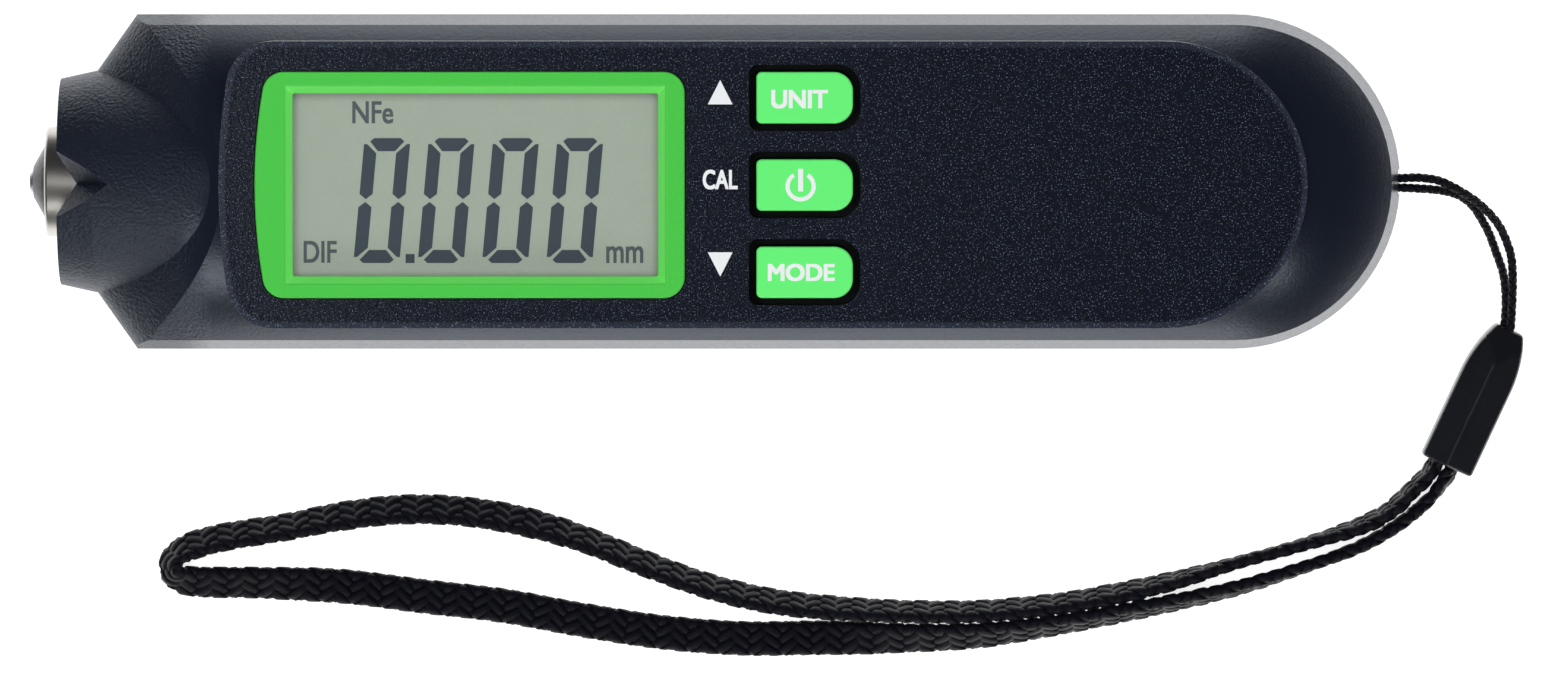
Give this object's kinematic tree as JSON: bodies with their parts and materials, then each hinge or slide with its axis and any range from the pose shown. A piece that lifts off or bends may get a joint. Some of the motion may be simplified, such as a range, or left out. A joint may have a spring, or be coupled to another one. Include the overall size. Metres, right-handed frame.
{
  "type": "coating thickness gauge",
  "caption": "Pocket coating thickness gauge: stick housing with a sprung probe in a grooved nose, a display, keys, a sliding battery cover and a braided wrist strap.",
  "frame": {"origin": "middle of the housing and probe's footprint, on the flat back that the gauge lies on", "axes": "+X from the probe's tip to the tail, +Z out of the panel with the display and keys"},
  "size_m": [0.1343, 0.0583, 0.023],
  "materials": {
    "body_plastic": "fine moulded grain",
    "green_plastic": "satin",
    "key_plastic": "soft satin",
    "clear_window": "clear",
    "lcd_glass": "satin",
    "zebra_rubber": "matt",
    "board": "solder mask",
    "black_plastic": "matt",
    "stem_plastic": "matt",
    "steel": "plain",
    "nickel": "turned",
    "brass": "turned",
    "core_plastic": "satin",
    "copper": "wound wire",
    "lead_rubber": "matt",
    "socket_plastic": "plain",
    "cell_can": "printed sleeve",
    "cord": "braided",
    "joiner_plastic": "satin"
  },
  "bodies": {
    "housing": {"upper_shell": "body_plastic", "lower_shell": "body_plastic", "display_bezel": "green_plastic", "display_window": "clear_window", "lcd_panel": "lcd_glass", "zebra_strips": "zebra_rubber", "main_board": "board", "controller_chip": "black_plastic", "switch_bases": "black_plastic", "probe_cap": "black_plastic", "board_screws": "steel", "case_screws": "steel", "battery_springs": "steel", "battery_contacts": "nickel", "probe_guide": "brass", "probe_lead": "lead_rubber", "lead_socket": "socket_plastic", "cell_left": "cell_can", "cell_right": "cell_can", "thin_loop": "cord", "wrist_loop": "cord", "strap_joiner": "joiner_plastic"},
    "unit_key": {"unit_button": "key_plastic", "unit_stem": "stem_plastic"},
    "power_key": {"power_button": "key_plastic", "power_stem": "stem_plastic"},
    "mode_key": {"mode_button": "key_plastic", "mode_stem": "stem_plastic"},
    "probe": {"probe_sleeve": "nickel", "probe_core": "core_plastic", "probe_tip": "steel", "probe_coil": "copper", "probe_spring": "steel"},
    "battery_door": {"battery_cover": "body_plastic"}
  },
  "joints": [
    {"name": "unit_press", "type": "slide", "parent": "housing", "child": "unit_key", "axis": [0, 0, -1], "range_m": [0, 0.0006], "stiffness_N_per_m": 800, "springref_m": -0.0015},
    {"name": "power_press", "type": "slide", "parent": "housing", "child": "power_key", "axis": [0, 0, -1], "range_m": [0, 0.0006], "stiffness_N_per_m": 800, "springref_m": -0.0015},
    {"name": "mode_press", "type": "slide", "parent": "housing", "child": "mode_key", "axis": [0, 0, -1], "range_m": [0, 0.0006], "stiffness_N_per_m": 800, "springref_m": -0.0015},
    {"name": "probe_slide", "type": "slide", "parent": "housing", "child": "probe", "axis": [1, 0, 0], "range_m": [0, 0.0026], "stiffness_N_per_m": 400, "springref_m": -0.003, "deforming": ["probe_spring"]},
    {"name": "cover_slide", "type": "slide", "parent": "housing", "child": "battery_door", "axis": [1, 0, 0], "range_m": [0, 0.062]}
  ]
}
